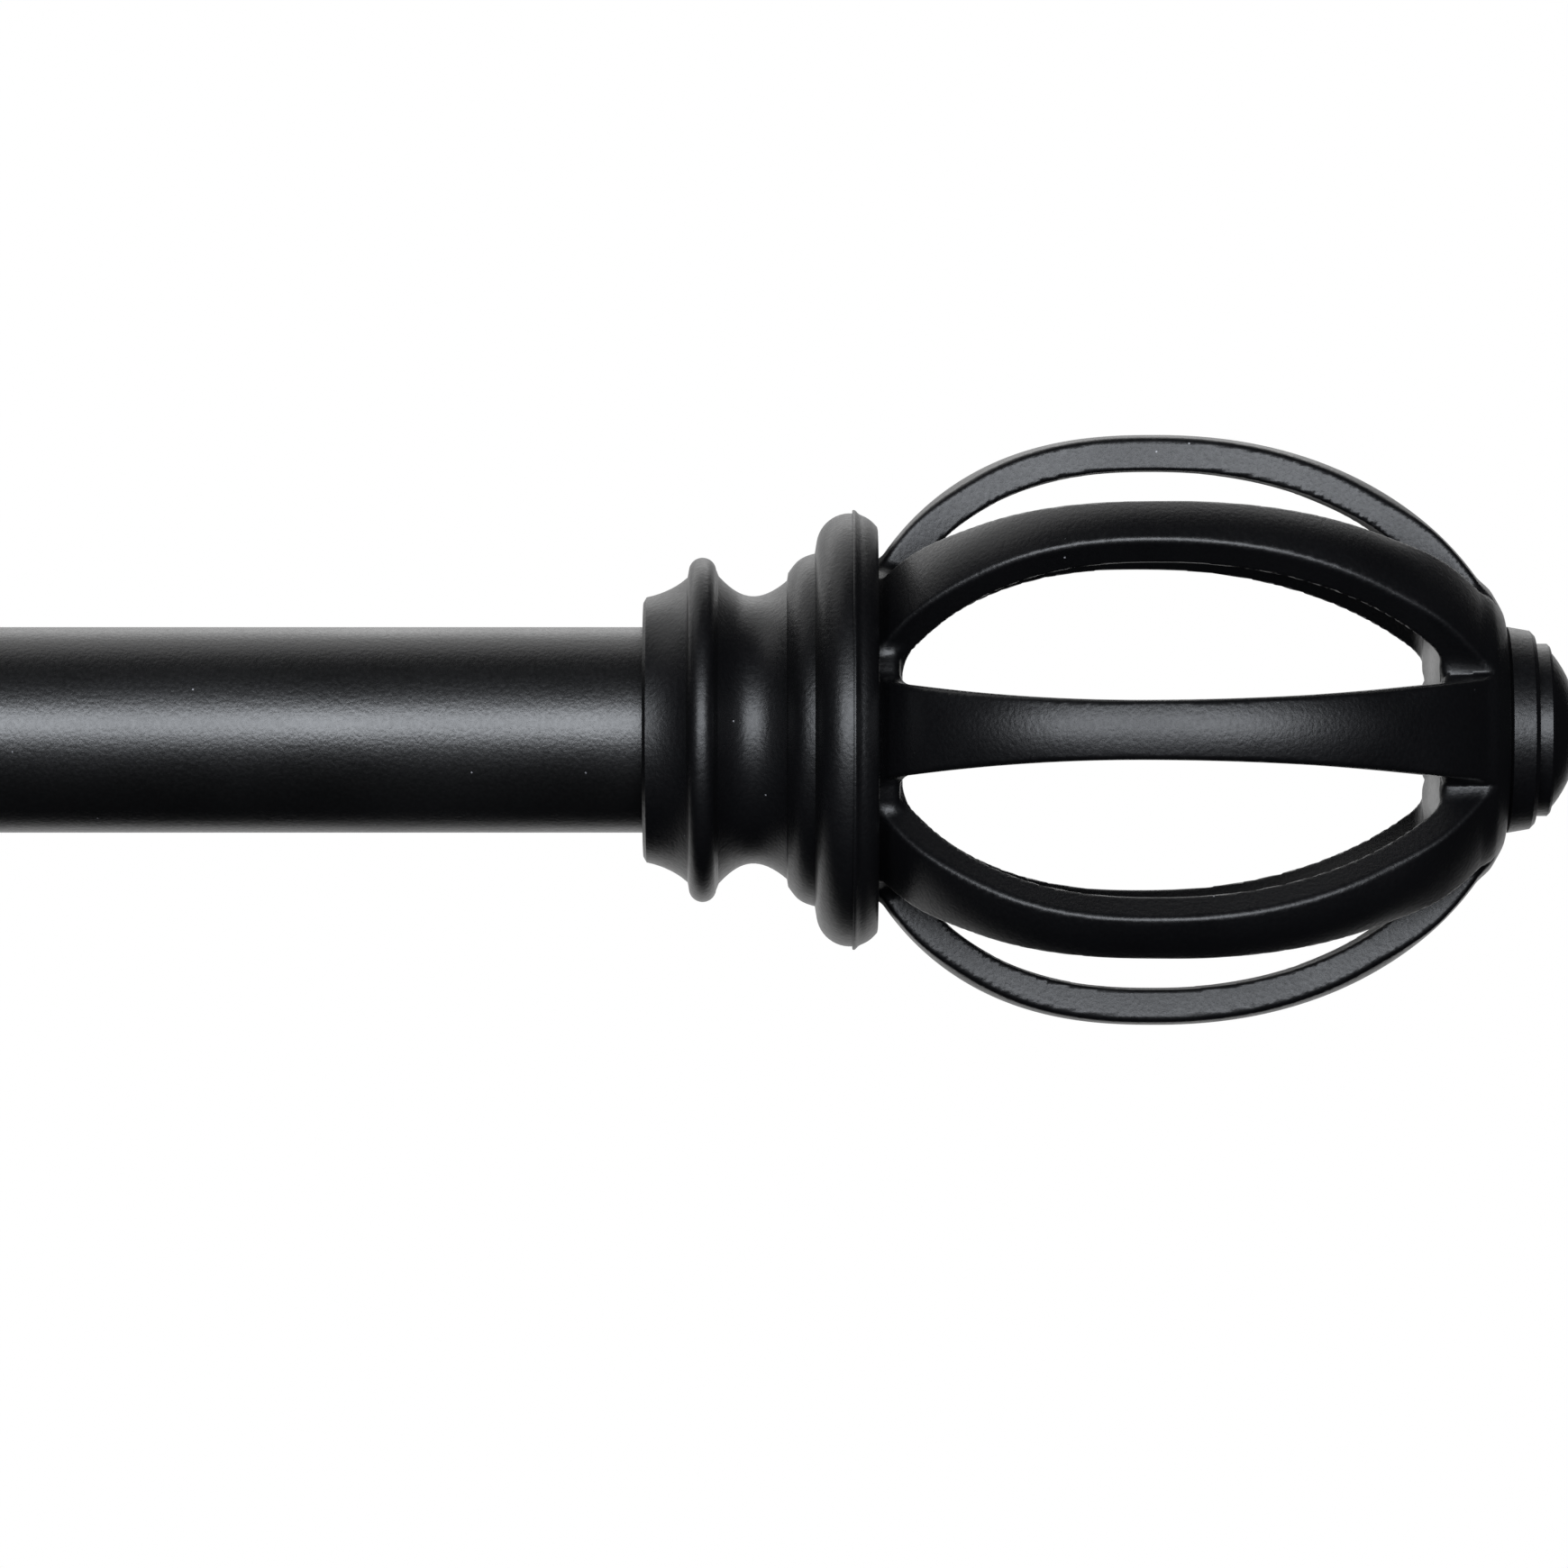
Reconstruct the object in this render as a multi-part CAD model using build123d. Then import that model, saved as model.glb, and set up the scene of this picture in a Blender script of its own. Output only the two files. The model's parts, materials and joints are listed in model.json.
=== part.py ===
from build123d import *
import math
import os

# A telescoping curtain rod with two birdcage finials and two wall brackets, in millimetres.
#
# Frame: +X runs along the rod towards its right end, +Z is up and +Y points into the wall.
# The origin is the centre of the right bracket's wall face. The rod's axis is level with it,
# PROJECTION in front of the wall, so the rod lies on the line y = -PROJECTION, z = 0.
#
# The rod is a 5/8 inch steel tube with a thinner tube sliding in it, shown pushed together.
# Each end carries a finial of four pieces: a turned collar that covers the tube's end, an
# open cage of eight ribs, a stepped cap on the cage's nose and a threaded stud that screws
# into a plug in the tube. Each bracket is a wall plate, a turned arm held by a screw from
# behind, a U-shaped cradle and a thumbscrew with a soft tip that presses on the rod.

INCH = 25.4

# ---------------------------------------------------------------- driving dimensions
ROD_DIAMETER = 5 / 8 * INCH      # outer tube
ROD_CLOSED = 28 * INCH           # between the finials' mouths, pushed together
ROD_OPEN = 48 * INCH             # between the finials' mouths, drawn out
TUBE_WALL = 0.6
INNER_TUBE_DIAMETER = 13.8
PROJECTION = 3 * INCH            # wall to the rod's axis
FINIAL_TO_BRACKET = 88.0         # from a finial's mouth to its bracket's middle

# ---------------------------------------------------------------- derived places along X
ROD_R = ROD_DIAMETER / 2
OUTER_BORE_R = ROD_R - TUBE_WALL
INNER_R = INNER_TUBE_DIAMETER / 2
INNER_BORE_R = INNER_R - TUBE_WALL
RIGHT_MOUTH_X = FINIAL_TO_BRACKET
LEFT_MOUTH_X = RIGHT_MOUTH_X - ROD_CLOSED
LEFT_BRACKET_X = LEFT_MOUTH_X + FINIAL_TO_BRACKET
TRAVEL = ROD_OPEN - ROD_CLOSED

# ---------------------------------------------------------------- fits, all radial
RUNNING = 0.04                   # one piece slides or turns in the other
SEATED = 0.02                    # pushed in and stays
THREAD = 0.05                    # between a plain threaded bore and its screw
LOOSE = 0.26                     # rod in a finial's mouth or in a cradle

# ---------------------------------------------------------------- tubes, plugs and bushes
TUBE_IN_COLLAR = 9.0             # how far a tube's cut end stands inside the collar
PLUG_FLANGE = 1.0                # plug's flange, which caps the cut end
PLUG_LENGTH = 18.0
LEFT_GAP = 12.0                  # from the left finial's mouth to the outer tube's mouth
SLEEVE_SHOWS = 5.0               # how far the adapter sleeve stands out of the left collar
BUSH_LENGTH = 10.0
BUSH_FLANGE = 1.2
OVERLAP_OPEN = 130.0             # of the two tubes when drawn out
GLIDE_HEAD = 6.0
GLIDE_SPIGOT = 10.0
GLIDE_BORE_R = 4.5

# ---------------------------------------------------------------- finial, along its own axis
SOCKET_DEPTH = 10.1
BOSS_START = 12.8                # cage's boss reaches back to here, inside the collar
BOSS_R = 5.7
SEAM = 16.1                      # collar and cage meet here, on the largest bead
BEAD_AXIS, BEAD_AXIS_R, BEAD_R = 15.9, 14.13, 2.57
DISC_FACE, DISC_END = 18.05, 19.65   # the disc that the ribs grow from
HUB_START, HUB_R = 60.2, 10.9    # the hub where they meet again
NOSE = 66.25                     # the cap's disc starts here
HUB_RIM_R = 0.85
STUD_R = 3.0
STUD_ENGAGED = 12.0              # thread inside the tube's plug, which is the finial's travel
STUD_END = 17.3
STUD_PITCH = 1.0

EGG_R = 22.74                    # cage's largest radius
EGG_MIDDLE = 39.4
EGG_LEFT, EGG_LEFT_POWER = 25.0, 2.45
EGG_RIGHT, EGG_RIGHT_POWER = 28.6, 2.15
SHELL = 2.73                     # a rib's thickness
RIBS = 8
RIB_PITCH = 360 / RIBS
RIB_HALF = 2.25                  # a rib's half width where it is narrowest
RIB_NARROWEST = 37.4
RIB_FLARE_LEFT, RIB_FLARE_RIGHT = 124.5, 215.0   # radii of a rib's two edge arcs

CAP_R, CAP_END = 7.95, 68.6
CAP_STEP_R, CAP_STEP_END = 6.65, 69.8
CAP_BUTTON_R, CAP_TIP = 6.15, 72.1
CAP_SPIGOT_R, CAP_SPIGOT = 3.0, 3.0

# ---------------------------------------------------------------- bracket
CRADLE_R = ROD_R + LOOSE
CRADLE_WALL = 3.0
CRADLE_WIDTH = 14.0
CRADLE_FRONT, CRADLE_BACK = 6.5, 9.5      # heights of its two sides over the rod's axis
CRADLE_EDGE = 0.8
BACK_BOSS_R, BACK_BOSS = 6.0, 4.0         # takes the arm
SCREW_BOSS_R, SCREW_BOSS = 4.6, 3.6       # takes the thumbscrew
ARM_R = 4.2
ARM_SPIGOT_R, ARM_SPIGOT = 2.5, 6.0
PLATE_WIDTH, PLATE_HEIGHT, PLATE = 24.0, 72.0, 3.2
PLATE_CORNER, PLATE_EDGE = 7.0, 1.2
PAD_R, PAD = 8.5, 1.8                     # round seat of the arm on the plate
WALL_HOLE_R, WALL_HOLE_SPACING = 2.3, 50.0
WALL_SINK_R = 4.6
ARM_SCREW_R, ARM_SCREW_PITCH, ARM_SCREW_LENGTH = 2.5, 0.8, 15.0
ARM_SCREW_HEAD_R, ARM_SCREW_HEAD = 4.5, 2.2
ARM_SCREW_RECESS = 2.4
KEY_ACROSS, KEY_DEPTH = 3.0, 1.5
THUMB_R, THUMB_PITCH = 2.0, 0.7
THUMB_HEAD_R, THUMB_HEAD, THUMB_NECK = 5.5, 5.0, 1.0
THUMB_FLUTES, THUMB_FLUTE_R = 18, 0.55
THUMB_TIP_R, THUMB_TIP = 1.5, 1.6
THUMB_TIP_STEM_R, THUMB_TIP_STEM = 0.8, 1.4
THUMB_GAP = 0.15                          # from the soft tip to the rod


# ================================================================ helpers
def turned(outline):
    """A closed outline of (along the axis, radius), turned about X."""
    return revolve(make_face(outline), Axis.X)


def turned_points(points):
    """The same from straight lines between points."""
    return turned(Polyline(*points, close=True))


def ring(start, end, outer, inner=0.0):
    """A tube or a disc about X from start to end."""
    return turned_points([(start, inner), (end, inner), (end, outer), (start, outer)])


def bored(piece, start, end, radius):
    """The piece with a hole along X."""
    return piece - ring(start, end, radius)


def screw_shank(start, end, radius, pitch):
    """A shank about X with ring grooves for its thread and a lead at the end."""
    root = radius - 0.6 * pitch
    count = int((end - start - pitch) / pitch)
    points = [(start, 0), (start, root)]
    for k in range(count):
        at = start + k * pitch
        points += [(at + 0.15 * pitch, root), (at + 0.45 * pitch, radius)]
        points += [(at + 0.6 * pitch, radius), (at + 0.9 * pitch, root)]
    points += [(end - 0.6 * pitch, root), (end, root - 0.6 * pitch), (end, 0)]
    return turned_points(points)


# ================================================================ rod, in place
def on_axis(piece):
    return Pos(0, -PROJECTION, 0) * piece


def outer_ends():
    return LEFT_MOUTH_X + LEFT_GAP, RIGHT_MOUTH_X + TUBE_IN_COLLAR


def inner_ends():
    return LEFT_MOUTH_X - TUBE_IN_COLLAR, outer_ends()[0] + OVERLAP_OPEN + TRAVEL


def outer_tube():
    start, end = outer_ends()
    return ring(start, end, ROD_R, OUTER_BORE_R)


def inner_tube():
    start, end = inner_ends()
    return ring(start, end, INNER_R, INNER_BORE_R)


def outer_tube_bush():
    """Lines the outer tube's mouth and guides the inner tube."""
    mouth = outer_ends()[0]
    flange = ring(mouth - BUSH_FLANGE, mouth, ROD_R, INNER_R + RUNNING)
    flange = chamfer(flange.edges().filter_by(GeomType.CIRCLE).sort_by(Axis.X)[0], 0.3)
    return flange + ring(mouth, mouth + BUSH_LENGTH, OUTER_BORE_R - SEATED, INNER_R + RUNNING)


def inner_tube_glide():
    """Centres the inner tube's hidden end in the outer tube."""
    end = inner_ends()[1]
    head = ring(end, end + GLIDE_HEAD, OUTER_BORE_R - RUNNING, GLIDE_BORE_R)
    return head + ring(end - GLIDE_SPIGOT, end, INNER_BORE_R - SEATED, GLIDE_BORE_R)


def left_adapter_sleeve():
    """Brings the inner tube's left end up to the finial's mouth."""
    return ring(inner_ends()[0], LEFT_MOUTH_X + SLEEVE_SHOWS, ROD_R, INNER_R + SEATED)


def tube_plug(bore_radius):
    """A threaded plug for a tube's end, about X, with the cut end at 0 and outside at +X."""
    body = ring(-PLUG_LENGTH, 0, bore_radius - SEATED)
    body += ring(0, PLUG_FLANGE, ROD_R - 0.1)
    return bored(body, -PLUG_LENGTH, PLUG_FLANGE, STUD_R + THREAD)


# ================================================================ finial, about X from its mouth
def bead_radius(s):
    """Radius of the largest bead at s."""
    return BEAD_AXIS_R + math.sqrt(BEAD_R**2 - (s - BEAD_AXIS) ** 2)


def collar():
    mouth = Spline((0.25, 10.23), (1.5, 10.6), (3.4, 11.75), tangents=((1, 0.2), (1, 0.9)))
    bead = ThreePointArc((3.5, 12.3), (4.45, 13.27), (5.6, 12.35))
    cove = Spline((5.8, 11.85), (8.2, 10.32), (11.05, 11.5), tangents=((1, -1.1), (1, 0.85)))
    ovolo = Spline((11.15, 12.1), (12.0, 13.1), (13.2, 13.6), tangents=((1, 1.4), (1, 0.25)))
    start = (13.35, BEAD_AXIS_R + 0.4)
    big_bead = ThreePointArc(start, (14.15, bead_radius(14.15)), (SEAM, bead_radius(SEAM)))
    outline = mouth + Line(mouth @ 1, bead @ 0) + bead + Line(bead @ 1, cove @ 0) + cove
    outline += Line(cove @ 1, ovolo @ 0) + ovolo + Line(ovolo @ 1, big_bead @ 0) + big_bead
    outline += Polyline(big_bead @ 1, (SEAM, 0), (0, 0), (0, 9.8), (0.25, 10.23))
    body = bored(turned(outline), -1, SOCKET_DEPTH, ROD_R + LOOSE)
    body = bored(body, SOCKET_DEPTH - 1, SEAM, STUD_R + 0.3)
    return bored(body, BOSS_START - 0.1, SEAM + 1, BOSS_R + RUNNING)


def egg_radius(s):
    """The cage's outer radius at s, an egg of two half superellipses."""
    reach, power = EGG_RIGHT, EGG_RIGHT_POWER
    if s < EGG_MIDDLE:
        reach, power = EGG_LEFT, EGG_LEFT_POWER
    share = abs(s - EGG_MIDDLE) / reach
    return EGG_R * math.sqrt(1 - share**power)


def inside_egg(s):
    """The point SHELL inside the egg, square to its surface at s."""
    step = 0.01
    slope = (egg_radius(s + step) - egg_radius(s - step)) / (2 * step)
    length = math.hypot(1, slope)
    return s + SHELL * slope / length, egg_radius(s) - SHELL / length


def turned_curve(points):
    """The solid between X and a smooth curve through points."""
    first, last = points[0], points[-1]
    ends = Polyline(last, (last[0], 0), (first[0], 0), first)
    return turned(Spline(*points) + ends)


def spaced(first, last, count=10):
    return [first + (last - first) * k / count for k in range(count + 1)]


def egg():
    return turned_curve([(s, egg_radius(s)) for s in spaced(DISC_FACE, NOSE)])


def egg_cavity():
    """The space inside the ribs, from the disc to the hub."""
    whole = turned_curve([inside_egg(s) for s in spaced(DISC_FACE - 2.2, NOSE - 1.5)])
    return whole & ring(DISC_END, HUB_START, EGG_R)


def rib_half_width(s):
    radius = RIB_FLARE_LEFT if s < RIB_NARROWEST else RIB_FLARE_RIGHT
    return RIB_HALF + radius - math.sqrt(radius**2 - (s - RIB_NARROWEST) ** 2)


def rib_edge_arc(first, last):
    """One rib's edge seen from outside, an arc from first to last."""
    stations = (first, (first + last) / 2, last)
    return ThreePointArc(*[(s, rib_half_width(s)) for s in stations])


def window():
    """What is cut away between the rib at +Z and the next one."""
    first, last, far = DISC_FACE, NOSE + 2, 1.5 * EGG_R
    left = rib_edge_arc(first, RIB_NARROWEST)
    right = rib_edge_arc(RIB_NARROWEST, last)
    back = Polyline(right @ 1, (last, far), (first, far), left @ 0)
    beside = extrude(make_face(left + right + back), far)
    wedge = beside & (Rot(X=-RIB_PITCH) * mirror(beside, Plane.XZ))
    disc = ring(DISC_FACE - 1, DISC_END, egg_radius(DISC_FACE))
    hub = ring(HUB_START, NOSE + 3, HUB_R)
    disc = fillet(disc.edges().filter_by(GeomType.CIRCLE).sort_by(Axis.X)[-1], HUB_RIM_R)
    hub = fillet(hub.edges().filter_by(GeomType.CIRCLE).sort_by(Axis.X)[0], HUB_RIM_R)
    return wedge - disc - hub


def cage():
    stations = (SEAM, (SEAM + DISC_FACE) / 2, DISC_FACE)
    bead = ThreePointArc(*[(s, bead_radius(s)) for s in stations])
    boss = Polyline(bead @ 1, (DISC_FACE, 0), (BOSS_START, 0), (BOSS_START, BOSS_R - 0.4),
                    (BOSS_START + 0.4, BOSS_R), (SEAM, BOSS_R), bead @ 0)
    body = egg() - egg_cavity()
    opening = window()
    for k in range(RIBS):
        body -= Rot(X=k * RIB_PITCH) * opening
    body += turned(bead + boss)
    body = bored(body, BOSS_START - 1, STUD_END + 0.4, STUD_R + SEATED)
    return bored(body, HUB_START - 1, NOSE + 1, CAP_SPIGOT_R + SEATED)


def cap():
    """The stepped button on the cage's nose."""
    disc = [(NOSE - CAP_SPIGOT, 0), (NOSE - CAP_SPIGOT, CAP_SPIGOT_R - 0.3),
            (NOSE - CAP_SPIGOT + 0.3, CAP_SPIGOT_R), (NOSE, CAP_SPIGOT_R), (NOSE, CAP_R - 0.3),
            (NOSE + 0.3, CAP_R), (CAP_END - 0.35, CAP_R - 0.3), (CAP_END, CAP_R - 0.65)]
    step = [(CAP_END, CAP_STEP_R), (CAP_STEP_END - 0.2, CAP_STEP_R), (CAP_STEP_END, CAP_STEP_R - 0.2),
            (CAP_STEP_END, CAP_BUTTON_R)]
    height = CAP_TIP - CAP_STEP_END
    dome_r = (CAP_BUTTON_R**2 + height**2) / (2 * height)
    half = 0.5 * math.asin(CAP_BUTTON_R / dome_r)
    middle = (CAP_TIP - dome_r * (1 - math.cos(half)), dome_r * math.sin(half))
    button = ThreePointArc((CAP_STEP_END, CAP_BUTTON_R), middle, (CAP_TIP, 0))
    return turned(Polyline(*disc, *step) + button + Line((CAP_TIP, 0), disc[0]))


def stud():
    return screw_shank(SOCKET_DEPTH - 0.1 - STUD_ENGAGED, STUD_END, STUD_R, STUD_PITCH)


# ================================================================ bracket, at x = 0
def wall_plate():
    plate = extrude(Plane.XZ * RectangleRounded(PLATE_WIDTH, PLATE_HEIGHT, PLATE_CORNER), PLATE)
    plate = fillet(plate.faces().sort_by(Axis.Y)[0].edges(), PLATE_EDGE)
    plate += extrude(Plane.XZ * Circle(PAD_R), PLATE + PAD)
    plate = fillet(plate.edges().filter_by(GeomType.CIRCLE).sort_by(Axis.Y)[0], 0.6)
    plate -= extrude(Plane.XZ * Circle(ARM_SCREW_R + 0.3), PLATE + PAD)
    plate -= extrude(Plane.XZ * Circle(ARM_SCREW_HEAD_R + 0.5), ARM_SCREW_RECESS)
    sink = WALL_SINK_R - WALL_HOLE_R
    for z in (-WALL_HOLE_SPACING / 2, WALL_HOLE_SPACING / 2):
        hole = Cylinder(WALL_HOLE_R, 3 * PLATE) + Pos(0, 0, PLATE - sink / 2) * Cone(
            WALL_HOLE_R, WALL_SINK_R, sink
        )
        plate -= Pos(0, 0, z) * Rot(X=90) * hole
    return plate


def along_wall_normal(piece):
    """Turns a piece made about X so that its +X points away from the wall."""
    return Rot(Z=-90) * piece


def arm_ends():
    return PLATE + PAD, PROJECTION - CRADLE_R - CRADLE_WALL - BACK_BOSS


def arm():
    """Turned rod from the plate to the cradle, with its spigot in the cradle's boss."""
    start, end = arm_ends()
    foot = Polyline((start, 0), (start, 6.6), (start + 1.2, 7.0), (start + 3.0, 6.6))
    cove = Spline(foot @ 1, (start + 5.4, 4.9), (start + 9.0, ARM_R),
                  tangents=((0.3, -1), (1, 0)))
    shaft = Line(cove @ 1, (end - 8.0, ARM_R))
    bead = ThreePointArc((end - 5.4, 4.8), (end - 4.0, 5.8), (end - 2.6, 4.9))
    neck = Line(shaft @ 1, bead @ 0)
    tail = Polyline(bead @ 1, (end - 2.2, 5.0), (end, 5.4), (end, ARM_SPIGOT_R),
                    (end + ARM_SPIGOT, ARM_SPIGOT_R), (end + ARM_SPIGOT, 0), (start, 0))
    body = turned(foot + cove + shaft + neck + bead + tail)
    deep = ARM_SCREW_RECESS + ARM_SCREW_LENGTH + 1.0
    return along_wall_normal(bored(body, start - 1, deep, ARM_SCREW_R + THREAD))


def arm_screw():
    """Holds the arm to the plate from behind, its head sunk under the wall face."""
    seat = ARM_SCREW_RECESS
    head = ring(seat - ARM_SCREW_HEAD, seat, ARM_SCREW_HEAD_R)
    head = fillet(head.edges().filter_by(GeomType.CIRCLE).sort_by(Axis.X)[0], 0.7)
    key = extrude(Plane.YZ * RegularPolygon(KEY_ACROSS / math.sqrt(3), 6), KEY_DEPTH)
    head -= Pos(seat - ARM_SCREW_HEAD, 0, 0) * key
    shank = screw_shank(seat, seat + ARM_SCREW_LENGTH, ARM_SCREW_R, ARM_SCREW_PITCH)
    return along_wall_normal(head + shank)


def cradle_side(side, height):
    """One upright of the U, on the side -1 or +1 of the rod's axis, with a round top."""
    middle = side * (CRADLE_R + CRADLE_WALL / 2)
    upright = Pos(middle, height / 2) * Rectangle(CRADLE_WALL, height)
    return upright + Pos(middle, height) * Circle(CRADLE_WALL / 2)


def cradle():
    profile = Circle(CRADLE_R + CRADLE_WALL) - Circle(CRADLE_R)
    profile -= Pos(0, CRADLE_R + CRADLE_WALL) * Rectangle(
        3 * CRADLE_R, 2 * (CRADLE_R + CRADLE_WALL)
    )
    profile += cradle_side(-1, CRADLE_FRONT) + cradle_side(1, CRADLE_BACK)
    body = Pos(-CRADLE_WIDTH / 2, 0, 0) * extrude(Plane.YZ * profile, CRADLE_WIDTH)
    body = fillet(body.faces().filter_by(Axis.X).edges(), CRADLE_EDGE)
    outer = CRADLE_R + CRADLE_WALL
    seat = Pos(0, outer + BACK_BOSS, 0) * Rot(X=90) * Cylinder(
        BACK_BOSS_R, BACK_BOSS + 2, align=(Align.CENTER, Align.CENTER, Align.MIN)
    )
    screw_seat = Pos(0, 0, -outer - SCREW_BOSS) * Cylinder(
        SCREW_BOSS_R, SCREW_BOSS + 2, align=(Align.CENTER, Align.CENTER, Align.MIN)
    )
    body += seat + screw_seat
    body -= Pos(-CRADLE_WIDTH, 0, 0) * ring(0, 2 * CRADLE_WIDTH, CRADLE_R)
    body -= Pos(0, outer + BACK_BOSS, 0) * Rot(X=90) * Cylinder(
        ARM_SPIGOT_R + SEATED, ARM_SPIGOT + 0.2, align=(Align.CENTER, Align.CENTER, Align.MIN)
    )
    body -= Pos(0, 0, -outer) * Cylinder(THUMB_R + THREAD, 4 * CRADLE_WALL + 4)
    return Pos(0, -PROJECTION, 0) * body


def thumb_top():
    """Distance below the rod's axis where the thumbscrew's metal starts."""
    return ROD_R + THUMB_GAP + THUMB_TIP


def downwards(piece):
    """Turns a piece made about X so that its +X points down from the rod's axis."""
    return Pos(0, -PROJECTION, 0) * Rot(Y=90) * piece


def thumbscrew():
    top = thumb_top()
    head_start = CRADLE_R + CRADLE_WALL + SCREW_BOSS + THUMB_NECK
    head_end = head_start + THUMB_HEAD
    shank = Rot(Y=180) * screw_shank(-head_start, -top, THUMB_R, THUMB_PITCH)
    head = ring(head_start, head_end, THUMB_HEAD_R)
    head = chamfer(head.edges().filter_by(GeomType.CIRCLE), 0.5)
    for k in range(THUMB_FLUTES):
        flute = ring(head_start - 1, head_end + 1, THUMB_FLUTE_R)
        head -= Rot(X=k * 360 / THUMB_FLUTES) * Pos(0, THUMB_HEAD_R + 0.2, 0) * flute
    screw = shank + head
    return downwards(bored(screw, top - 1, top + THUMB_TIP_STEM + 0.1, THUMB_TIP_STEM_R + SEATED))


def thumbscrew_tip():
    """Soft tip, held by its stem in the screw's end."""
    top = thumb_top()
    pad = ring(top - THUMB_TIP, top, THUMB_TIP_R)
    pad = chamfer(pad.edges().filter_by(GeomType.CIRCLE).sort_by(Axis.X)[0], 0.3)
    return downwards(pad + ring(top, top + THUMB_TIP_STEM, THUMB_TIP_STEM_R))


# ================================================================ assembly
def finial_parts():
    return {"collar": collar(), "cage": cage(), "cap": cap(), "stud": stud()}


def bracket_parts():
    return {
        "wall_plate": wall_plate(),
        "arm": arm(),
        "arm_screw": arm_screw(),
        "cradle": cradle(),
        "thumbscrew": thumbscrew(),
        "thumbscrew_tip": thumbscrew_tip(),
    }


def rod_parts():
    right_end = Pos(outer_ends()[1], 0, 0)
    left_end = Pos(inner_ends()[0], 0, 0) * Rot(Z=180)
    return {
        "outer_tube": outer_tube(),
        "outer_tube_bush": outer_tube_bush(),
        "right_plug": right_end * tube_plug(OUTER_BORE_R),
        "inner_tube": inner_tube(),
        "inner_tube_glide": inner_tube_glide(),
        "left_adapter_sleeve": left_adapter_sleeve(),
        "left_plug": left_end * tube_plug(INNER_BORE_R),
    }


def assembly():
    nodes = {name: on_axis(piece) for name, piece in rod_parts().items()}
    right = Pos(RIGHT_MOUTH_X, 0, 0)
    left = Pos(LEFT_MOUTH_X, 0, 0) * Rot(Z=180)
    for name, piece in finial_parts().items():
        nodes["right_finial_" + name] = on_axis(right * piece)
        nodes["left_finial_" + name] = on_axis(left * piece)
    for name, piece in bracket_parts().items():
        nodes["right_" + name] = piece
        nodes["left_" + name] = Pos(LEFT_BRACKET_X, 0, 0) * piece
    return nodes


os.makedirs("parts", exist_ok=True)
for node, piece in assembly().items():
    export_step(piece, "parts/" + node + ".step")
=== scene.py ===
import json
import math

import bpy
import numpy as np
from mathutils import Matrix, Vector


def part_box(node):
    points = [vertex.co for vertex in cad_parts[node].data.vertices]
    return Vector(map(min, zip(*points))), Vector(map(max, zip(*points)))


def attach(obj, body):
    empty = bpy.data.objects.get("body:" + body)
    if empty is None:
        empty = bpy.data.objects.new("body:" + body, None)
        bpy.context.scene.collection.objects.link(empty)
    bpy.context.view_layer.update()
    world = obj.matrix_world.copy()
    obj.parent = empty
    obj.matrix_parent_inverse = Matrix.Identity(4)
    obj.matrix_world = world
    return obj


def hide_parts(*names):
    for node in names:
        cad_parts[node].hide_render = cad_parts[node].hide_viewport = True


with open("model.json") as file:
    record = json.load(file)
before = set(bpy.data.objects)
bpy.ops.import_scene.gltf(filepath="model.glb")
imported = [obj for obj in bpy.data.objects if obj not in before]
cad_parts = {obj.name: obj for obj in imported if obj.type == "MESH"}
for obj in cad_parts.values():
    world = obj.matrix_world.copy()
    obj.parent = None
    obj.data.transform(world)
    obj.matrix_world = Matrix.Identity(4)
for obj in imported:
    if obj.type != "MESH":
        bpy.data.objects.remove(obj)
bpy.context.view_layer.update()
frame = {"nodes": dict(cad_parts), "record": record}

# Looks for the telescoping curtain rod. The CAD nodes stay as they are, except each finial's
# cage: its casting has soft edges and small fillets where the ribs grow out of the disc and
# the hub, and it is made here as the zero surface of a distance field, with the turned half
# of the largest bead beside it. Lengths of the finial are in millimetres along its own axis,
# from its mouth, as in the CAD; everything else is in metres.

MM = 0.001

# ---------------------------------------------------------------- places from the frame
collar_low, collar_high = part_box("right_finial_collar")
RIGHT_MOUTH_X = collar_low[0]
LEFT_MOUTH_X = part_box("left_finial_collar")[1][0]
AXIS_Y = (collar_low[1] + collar_high[1]) / 2
AXIS_Z = (collar_low[2] + collar_high[2]) / 2

# ---------------------------------------------------------------- the cage, as in the CAD
EGG_R, EGG_MIDDLE = 22.74, 39.4
EGG_LEFT, EGG_LEFT_POWER = 25.0, 2.45
EGG_RIGHT, EGG_RIGHT_POWER = 28.6, 2.15
SHELL = 2.73
RIBS = 8
RIB_HALF, RIB_NARROWEST = 2.25, 37.4
RIB_FLARE_LEFT, RIB_FLARE_RIGHT = 124.5, 215.0
SEAM, DISC_FACE, DISC_END = 16.1, 18.05, 19.65
DISC_R = 12.9           # the egg's radius at DISC_FACE, rounded
HUB_R, NOSE = 10.9, 66.25
BEAD_AXIS, BEAD_AXIS_R, BEAD_R = 15.9, 14.13, 2.57
BOSS_START, BOSS_R = 12.8, 5.7

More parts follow.
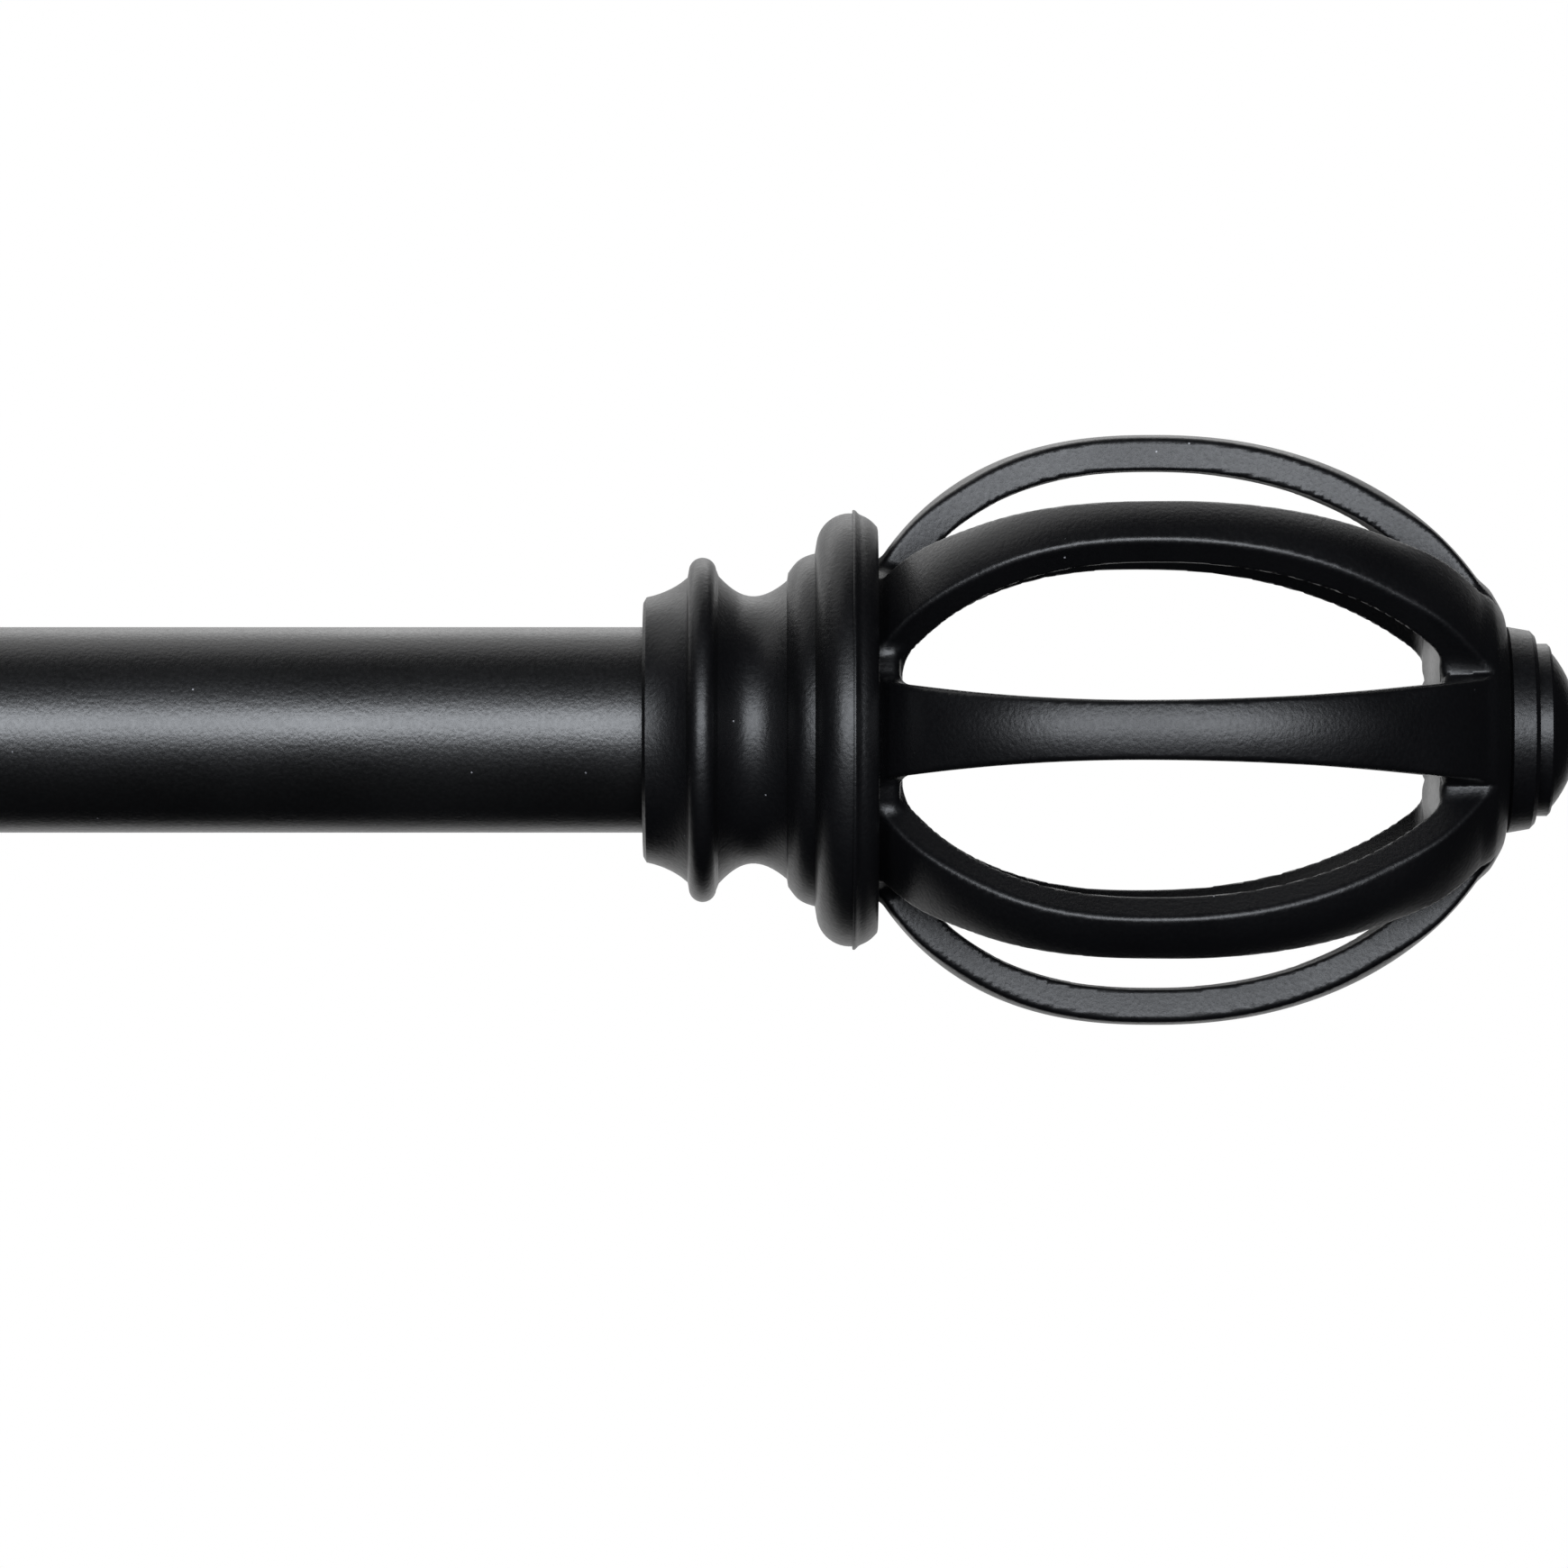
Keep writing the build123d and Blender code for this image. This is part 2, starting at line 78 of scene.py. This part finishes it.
# ---------------------------------------------------------------- where it differs from the CAD
HUB_START, HUB_DISH = 60.9, 1.9     # the hub's inner face, and how deep its middle lies
RIB_EDGE_R = 0.38                   # outer edges of the ribs
RIB_INNER_R = 0.35                  # inner edges of the ribs
CAVITY_R = 1.0                      # inside, where the ribs' shell turns to the disc and hub
ROOT_R = 0.75                       # fillet where a rib grows out of the disc
HUB_ROOT_R = 1.1                    # fillet where it grows out of the hub
RIM_R = 0.75                        # edges of the disc and of the hub's inner face
HUB_EDGE_R = 0.3                    # where the hub meets the egg's outside
END_R = 0.2                         # edges of the cut ends
DISC_OVERLAP = 0.6                  # the disc goes this far into the bead
CROWN_R = 7.6                       # the ribs' outer faces are rounder across than the egg is
CROWN_HALF = 3.0                    # no further off a rib's middle line than this
CROWN_FROM, CROWN_TO, CROWN_FADE = 20.0, 61.5, 5.7
LIP, LIP_WIDTH, LIP_PAST_SEAM = 0.28, 0.28, 0.12     # raised line along the bead's seam
SEAM_CHAMFER = 0.17
BEAD_EDGE = 0.25                    # the bead's round ends this far before the disc's face
STUD_BORE_R = 3.1
BEAD_STEPS, BEAD_CROWDING = 28, 1.3                  # the profile is finer near the seam

# ---------------------------------------------------------------- the grid for its surface
CELL = 0.34
MARGIN = 0.8            # of the grid round the cage
RELAX_STEPS = 4


# ================================================================ distance field of the cage
def egg_radius(s):
    left = s < EGG_MIDDLE
    reach = np.where(left, EGG_LEFT, EGG_RIGHT)
    power = np.where(left, EGG_LEFT_POWER, EGG_RIGHT_POWER)
    share = np.clip(np.abs(s - EGG_MIDDLE) / reach, 0, 0.99)
    return EGG_R * np.sqrt(1 - share**power)


def rib_half_width(s):
    flare = np.where(s < RIB_NARROWEST, RIB_FLARE_LEFT, RIB_FLARE_RIGHT)
    return RIB_HALF + flare - np.sqrt(flare**2 - (s - RIB_NARROWEST) ** 2)


def both(a, b, radius):
    """Distance to what two fields share, with the edge between them rounded."""
    corner = np.hypot(np.maximum(a + radius, 0), np.maximum(b + radius, 0))
    return np.minimum(np.maximum(a, b), -radius) + corner


def either(a, b, radius):
    """Distance to two fields together, with a fillet where they meet."""
    return -both(-a, -b, radius)


def crown(s, across):
    """How far a rib's outer face falls away beside its middle line."""
    bend = (1 / CROWN_R - 1 / EGG_R) / 2
    ends = np.clip(np.minimum(s - CROWN_FROM, CROWN_TO - s) / CROWN_FADE, 0, 1)
    return bend * np.minimum(across, CROWN_HALF) ** 2 * ends**2 * (3 - 2 * ends)


def cage_field(s, y, z):
    """Signed distance in millimetres to the ribs, their disc and their hub."""
    r = np.hypot(y, z)
    pitch = 2 * math.pi / RIBS
    turn = np.abs((np.arctan2(y, z) + pitch / 2) % pitch - pitch / 2)
    across = r * np.sin(turn)
    slope = (egg_radius(s + 0.05) - egg_radius(s - 0.05)) / 0.1
    egg = (r - egg_radius(s)) / np.sqrt(1 + slope**2)
    cavity = both(egg + SHELL, np.maximum(DISC_END - s, s - HUB_START), CAVITY_R)
    ribs = both(egg + crown(s, across), across - rib_half_width(s), RIB_EDGE_R)
    ribs = both(ribs, -cavity, RIB_INNER_R)
    disc = both(r - DISC_R, s - DISC_END, RIM_R)
    face = HUB_START + HUB_DISH * np.clip(1 - (r / HUB_R) ** 2, 0, 1)
    hub = both(both(r - HUB_R, face - s, RIM_R), egg, HUB_EDGE_R)
    cage = either(either(ribs, disc, ROOT_R), hub, HUB_ROOT_R)
    return both(cage, np.maximum(DISC_FACE - DISC_OVERLAP - s, s - NOSE), END_R)


def gradient(field, points, step=0.02):
    rows = []
    for axis in range(3):
        ahead, behind = points.copy(), points.copy()
        ahead[:, axis] += step
        behind[:, axis] -= step
        rows.append((field(*ahead.T) - field(*behind.T)) / (2 * step))
    return np.stack(rows, axis=1)


def onto_surface(field, points, steps=4):
    for _ in range(steps):
        slope = gradient(field, points)
        size = np.maximum((slope**2).sum(axis=1), 0.05)
        move = field(*points.T) / size
        points = points - slope * np.clip(move, -CELL, CELL)[:, None]
    return points


def grid_quads(inside, ids):
    """One quad round each grid edge that crosses the surface."""
    quads = []
    for axis in range(3):
        one, two = [a for a in range(3) if a != axis]
        here = np.take(inside, range(inside.shape[axis] - 1), axis)
        there = np.take(inside, range(1, inside.shape[axis]), axis)
        edges = np.argwhere(here != there)
        edges = edges[(edges[:, one] > 0) & (edges[:, two] > 0)]
        low = np.minimum(edges, np.array(ids.shape) - 1)
        corners = []
        for back_one, back_two in ((1, 1), (0, 1), (0, 0), (1, 0)):
            cell = low.copy()
            cell[:, one] -= back_one
            cell[:, two] -= back_two
            corners.append(ids[tuple(cell.T)])
        quad = np.stack(corners, axis=1)
        flip = here[tuple(edges.T)] == (axis == 1)
        quad[flip] = quad[flip][:, ::-1]
        quads.append(quad)
    return np.concatenate(quads)


def field_surface(field, low, high, cell):
    """Vertices, normals and quads of the surface where the field is zero."""
    axes = [np.arange(a, b + cell, cell) for a, b in zip(low, high)]
    inside = field(*np.meshgrid(*axes, indexing="ij")) < 0
    count = inside.astype(int)
    count = count[:-1] + count[1:]
    count = count[:, :-1] + count[:, 1:]
    count = count[:, :, :-1] + count[:, :, 1:]
    crossed = (count > 0) & (count < 8)
    ids = np.full(crossed.shape, -1)
    ids[crossed] = np.arange(crossed.sum())
    points = np.argwhere(crossed) * cell + cell / 2 + np.array(low)
    quads = grid_quads(inside, ids)
    points = onto_surface(field, points)
    ends = np.concatenate([quads[:, [k, (k + 1) % 4]] for k in range(4)])
    ends = np.concatenate([ends, ends[:, ::-1]])
    valence = np.bincount(ends[:, 0], minlength=len(points))[:, None]
    for _ in range(RELAX_STEPS):
        around = np.stack([np.bincount(ends[:, 0], points[ends[:, 1], a]) for a in range(3)], axis=1)
        points = onto_surface(field, 0.5 * (points + around / valence), 2)
    normals = gradient(field, points)
    normals /= np.linalg.norm(normals, axis=1)[:, None]
    return points, normals, quads


# ================================================================ meshes
def finial_matrix(side):
    """From a finial's own millimetres to the row frame."""
    mouth = RIGHT_MOUTH_X if side == "right" else LEFT_MOUTH_X
    turn = Matrix.Rotation(0 if side == "right" else math.pi, 4, "Z")
    return Matrix.Translation((mouth, AXIS_Y, AXIS_Z)) @ turn @ Matrix.Scale(MM, 4)


def add_mesh(name, points, faces, normals=None):
    mesh = bpy.data.meshes.new(name)
    mesh.from_pydata(points.tolist(), [], faces.tolist())
    mesh.validate()
    mesh.polygons.foreach_set("use_smooth", [True] * len(mesh.polygons))
    if normals is not None:
        mesh.normals_split_custom_set_from_vertices(normals.tolist())
    thing = bpy.data.objects.new(name, mesh)
    bpy.context.scene.collection.objects.link(thing)
    return thing


def lathe(name, profile, around=192):
    """A closed profile of (s, r) turned about the finial's axis."""
    profile = np.array(profile)
    turn = np.linspace(0, 2 * math.pi, around, endpoint=False)
    s = np.repeat(profile[:, 0], around)
    r = np.repeat(profile[:, 1], around)
    angle = np.tile(turn, len(profile))
    points = np.stack([s, r * np.sin(angle), r * np.cos(angle)], axis=1)
    ring = np.arange(around)
    faces = []
    for k in range(len(profile) - 1):
        low, high = k * around + ring, (k + 1) * around + ring
        faces.append(np.stack([low, np.roll(low, -1), np.roll(high, -1), high], axis=1))
    thing = add_mesh(name, points, np.concatenate(faces))
    thing.data.set_sharp_from_angle(angle=math.radians(40))
    return thing


def bead_profile():
    """The cage's half of the largest bead, with the raised line along its seam."""
    start = math.asin((SEAM - BEAD_AXIS) / BEAD_R)
    end = math.asin((DISC_FACE - BEAD_EDGE - BEAD_AXIS) / BEAD_R)
    rows = [(BOSS_START, STUD_BORE_R), (BOSS_START, BOSS_R), (SEAM, BOSS_R)]
    rows.append((SEAM, BEAD_AXIS_R + BEAD_R - SEAM_CHAMFER))
    for k in range(BEAD_STEPS + 1):
        angle = start + (end - start) * (k / BEAD_STEPS) ** BEAD_CROWDING
        s = BEAD_AXIS + BEAD_R * math.sin(angle)
        lip = LIP * math.exp(-(((s - SEAM - LIP_PAST_SEAM) / LIP_WIDTH) ** 2))
        rows.append((s, BEAD_AXIS_R + BEAD_R * math.cos(angle) + lip))
    edge = rows[-1][1]
    rows += [(DISC_FACE - 0.05, edge - 0.22), (DISC_FACE, edge - 0.45)]
    rows += [(DISC_FACE, STUD_BORE_R), (BOSS_START, STUD_BORE_R)]
    return rows


reach = EGG_R + MARGIN
cage_points, cage_normals, cage_quads = field_surface(
    cage_field, (DISC_FACE - 2 * DISC_OVERLAP, -reach, -reach), (NOSE + MARGIN, reach, reach), CELL
)


# ================================================================ materials
def nodes_of(name):
    material = bpy.data.materials.new(name)
    material.use_nodes = True
    tree = material.node_tree
    return material, tree, tree.nodes["Principled BSDF"]


def add_node(tree, kind, **values):
    node = tree.nodes.new(kind)
    for key, value in values.items():
        if key in node.inputs:
            node.inputs[key].default_value = value
        else:
            setattr(node, key, value)
    return node


def noise(tree, coordinates, scale, detail):
    node = add_node(tree, "ShaderNodeTexNoise", Scale=scale, Detail=detail)
    tree.links.new(coordinates, node.inputs["Vector"])
    return node.outputs["Fac"]


def ranged(tree, value, low, high, to_low, to_high):
    """value, taken from low..high to to_low..to_high."""
    node = add_node(tree, "ShaderNodeMapRange")
    for key, number in (("From Min", low), ("From Max", high), ("To Min", to_low), ("To Max", to_high)):
        node.inputs[key].default_value = number
    tree.links.new(value, node.inputs["Value"])
    return node.outputs["Result"]


def mixed(tree, share, first, second):
    node = add_node(tree, "ShaderNodeMix", data_type="RGBA")
    tree.links.new(share, node.inputs["Factor"])
    colours = [socket for socket in node.inputs if socket.type == "RGBA"]
    for socket, value in zip(colours, (first, second)):
        if isinstance(value, tuple):
            socket.default_value = (*value, 1.0)
        else:
            tree.links.new(value, socket)
    return [socket for socket in node.outputs if socket.type == "RGBA"][0]


def specks(tree, coordinates, per_metre, size, share):
    """1 inside scattered specks of dust: one in a share of the cells."""
    cells = add_node(tree, "ShaderNodeTexVoronoi", Scale=per_metre)
    tree.links.new(coordinates, cells.inputs["Vector"])
    near = ranged(tree, cells.outputs["Distance"], size * 0.6, size, 1.0, 0.0)
    split = add_node(tree, "ShaderNodeSeparateColor")
    tree.links.new(cells.outputs["Color"], split.inputs["Color"])
    chosen = ranged(tree, split.outputs["Red"], 1 - share, 1 - share + 0.01, 0.0, 1.0)
    dots = add_node(tree, "ShaderNodeMath", operation="MULTIPLY")
    tree.links.new(near, dots.inputs[0])
    tree.links.new(chosen, dots.inputs[1])
    return dots.outputs["Value"]


CLOUD_SCALE = 70.0           # of the coating's slight clouding, per metre
CLOUD_ROUGHNESS = 0.06       # how much rougher it is in its palest places
PEEL_SCALE = 3200.0          # of its orange peel, per metre
PEEL_DEPTH = 0.00006         # in metres
PEEL_ROUGHNESS = 0.16        # how much rougher it is on top of the peel
DUST_PER_METRE, DUST_SIZE = 800.0, 0.075     # cells in a metre, and a speck's share of a cell
DUST_COLOUR = (0.20, 0.20, 0.21)


def coated(name, dark, light, roughness, bump=0.45, dust=0.05, metallic=0.0, specular=0.5):
    """Satin coating: slight clouding, a fine orange peel and a few specks of dust."""
    material, tree, shader = nodes_of(name)
    place = add_node(tree, "ShaderNodeTexCoord").outputs["Object"]
    cloud = noise(tree, place, CLOUD_SCALE, detail=4.0)
    peel = noise(tree, place, PEEL_SCALE, detail=3.0)
    colour = mixed(tree, ranged(tree, cloud, 0.3, 0.7, 0.0, 1.0), dark, light)
    if dust:
        dots = specks(tree, place, DUST_PER_METRE, DUST_SIZE, dust)
        colour = mixed(tree, dots, colour, DUST_COLOUR)
    tree.links.new(colour, shader.inputs["Base Color"])
    smoothest = roughness - PEEL_ROUGHNESS / 2       # the peel adds as much on average
    clouded = ranged(tree, cloud, 0.3, 0.7, smoothest, smoothest + CLOUD_ROUGHNESS)
    rough = add_node(tree, "ShaderNodeMath", operation="MULTIPLY_ADD")
    tree.links.new(peel, rough.inputs[0])
    rough.inputs[1].default_value = PEEL_ROUGHNESS
    tree.links.new(clouded, rough.inputs[2])
    tree.links.new(rough.outputs["Value"], shader.inputs["Roughness"])
    relief = add_node(tree, "ShaderNodeBump", Strength=bump, Distance=PEEL_DEPTH)
    tree.links.new(peel, relief.inputs["Height"])
    tree.links.new(relief.outputs["Normal"], shader.inputs["Normal"])
    shader.inputs["Metallic"].default_value = metallic
    shader.inputs["Specular IOR Level"].default_value = specular
    return material


MATERIALS = {
    "black_rod": coated(
        "satin_black_rod", (0.0010, 0.0010, 0.0011), (0.0016, 0.0016, 0.0018), 0.34
    ),
    "black_finial": coated(
        "satin_black_finial", (0.0010, 0.0010, 0.0013), (0.0016, 0.0016, 0.0020), 0.36, specular=0.30
    ),
    "black_bracket": coated(
        "satin_black_bracket", (0.002, 0.002, 0.0022), (0.003, 0.003, 0.0033), 0.40
    ),
    "black_screw": coated(
        "black_oxide", (0.012, 0.012, 0.013), (0.02, 0.02, 0.021), 0.45, metallic=0.6
    ),
    "dark_plastic": coated(
        "moulded_nylon", (0.018, 0.018, 0.019), (0.024, 0.024, 0.025), 0.55, dust=0.0
    ),
    "zinc_steel": coated(
        "zinc_plated_steel", (0.46, 0.47, 0.50), (0.56, 0.57, 0.60), 0.36, dust=0.0, metallic=1.0
    ),
    "soft_tip": coated(
        "soft_nylon_tip", (0.05, 0.05, 0.052), (0.07, 0.07, 0.072), 0.6, dust=0.0
    ),
}
for entry in frame["record"]["subparts"]:
    mesh = frame["nodes"][entry["node"]].data
    mesh.materials.clear()
    mesh.materials.append(MATERIALS[entry["material_slot"]])

for side in ("right", "left"):
    ribs = add_mesh(side + "_cage_ribs", cage_points, cage_quads, cage_normals)
    bead = lathe(side + "_cage_bead", bead_profile())
    for piece in (ribs, bead):
        piece.data.transform(finial_matrix(side))
        piece.data.materials.append(MATERIALS["black_finial"])
        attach(piece, side + "_finial")
        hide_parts(side + "_finial_cage")


# ================================================================ floor, lights and camera
def area_light(name, place, target, size, watts, colour):
    data = bpy.data.lights.new(name, "AREA")
    data.shape = "RECTANGLE"
    data.size, data.size_y = size
    data.energy = watts
    data.color = colour
    light = bpy.data.objects.new(name, data)
    light.location = place
    light.rotation_euler = (Vector(target) - Vector(place)).to_track_quat("-Z", "Y").to_euler()
    bpy.context.scene.collection.objects.link(light)


# The floor is pale by its own light, so it stays even, and it doesn't light the part.
FLOOR_Z = -0.26
FLOOR_HALF, FLOOR_FRONT, FLOOR_BACK = 3.0, -2.6, 1.3
floor_corners = [(-FLOOR_HALF, FLOOR_FRONT, FLOOR_Z), (FLOOR_HALF, FLOOR_FRONT, FLOOR_Z),
                 (FLOOR_HALF, FLOOR_BACK, FLOOR_Z), (-FLOOR_HALF, FLOOR_BACK, FLOOR_Z)]
floor_mesh = bpy.data.meshes.new("floor")
floor_mesh.from_pydata(floor_corners, [], [(0, 1, 2, 3)])
floor = bpy.data.objects.new("floor", floor_mesh)
bpy.context.scene.collection.objects.link(floor)
floor_material, _, floor_shader = nodes_of("pale_floor")
floor_shader.inputs["Base Color"].default_value = (0.005, 0.005, 0.005, 1)
floor_shader.inputs["Roughness"].default_value = 1.0
floor_shader.inputs["Specular IOR Level"].default_value = 0.0
floor_shader.inputs["Emission Color"].default_value = (0.80, 0.80, 0.80, 1)
floor_shader.inputs["Emission Strength"].default_value = 1.0
floor_mesh.materials.append(floor_material)
floor.visible_glossy = False
floor.visible_diffuse = False

# The camera sees a white surround, which lights the part only faintly.
world = bpy.data.worlds.new("studio")
bpy.context.scene.world = world
world.use_nodes = True
sky = world.node_tree
seen = add_node(sky, "ShaderNodeBackground", Color=(1, 1, 1, 1), Strength=1.0)
lit = add_node(sky, "ShaderNodeBackground", Color=(0.9, 0.93, 1.0, 1), Strength=0.018)
path = add_node(sky, "ShaderNodeLightPath")
join = add_node(sky, "ShaderNodeMixShader")
sky.links.new(path.outputs["Is Camera Ray"], join.inputs[0])
sky.links.new(lit.outputs[0], join.inputs[1])
sky.links.new(seen.outputs[0], join.inputs[2])
sky.links.new(join.outputs[0], sky.nodes["World Output"].inputs["Surface"])

finial_x = RIGHT_MOUTH_X + 10.83 * MM
finial_place = (finial_x, AXIS_Y, AXIS_Z)
WHITE, COOL = (1, 1, 1), (0.90, 0.94, 1.0)
LIGHTS = (      # name, place from the finial, size, watts, colour
    ("key_softbox", (0.0, -1.27, 0.17), (1.6, 0.64), 41.0, COOL),
    ("top_softbox", (-0.2, 0.35, 0.9), (1.6, 0.6), 4.2, WHITE),
    ("backdrop", (-0.3, 1.3, 0.0), (2.6, 2.6), 22.0, WHITE),
    ("back_softbox", (-0.4, 1.1, 0.95), (1.8, 0.6), 5.0, WHITE),
)
for name, offset, size, watts, colour in LIGHTS:
    area_light(name, Vector(finial_place) + Vector(offset), finial_place, size, watts, colour)

CAMERA_DISTANCE = 0.7125
VIEW_WIDTH = 0.1209          # what the picture spans at the rod's axis
SENSOR = 36.0
camera_data = bpy.data.cameras.new("camera")
camera_data.sensor_width = SENSOR
camera_data.lens = SENSOR * CAMERA_DISTANCE / VIEW_WIDTH
camera_data.shift_y = -0.0345
camera = bpy.data.objects.new("camera", camera_data)
camera.location = (finial_x, AXIS_Y - CAMERA_DISTANCE, AXIS_Z)
camera.rotation_euler = (math.pi / 2, 0, 0)
camera_data.clip_start, camera_data.clip_end = 0.01, 50
bpy.context.scene.collection.objects.link(camera)
bpy.context.scene.camera = camera
bpy.context.scene.view_settings.view_transform = "Standard"
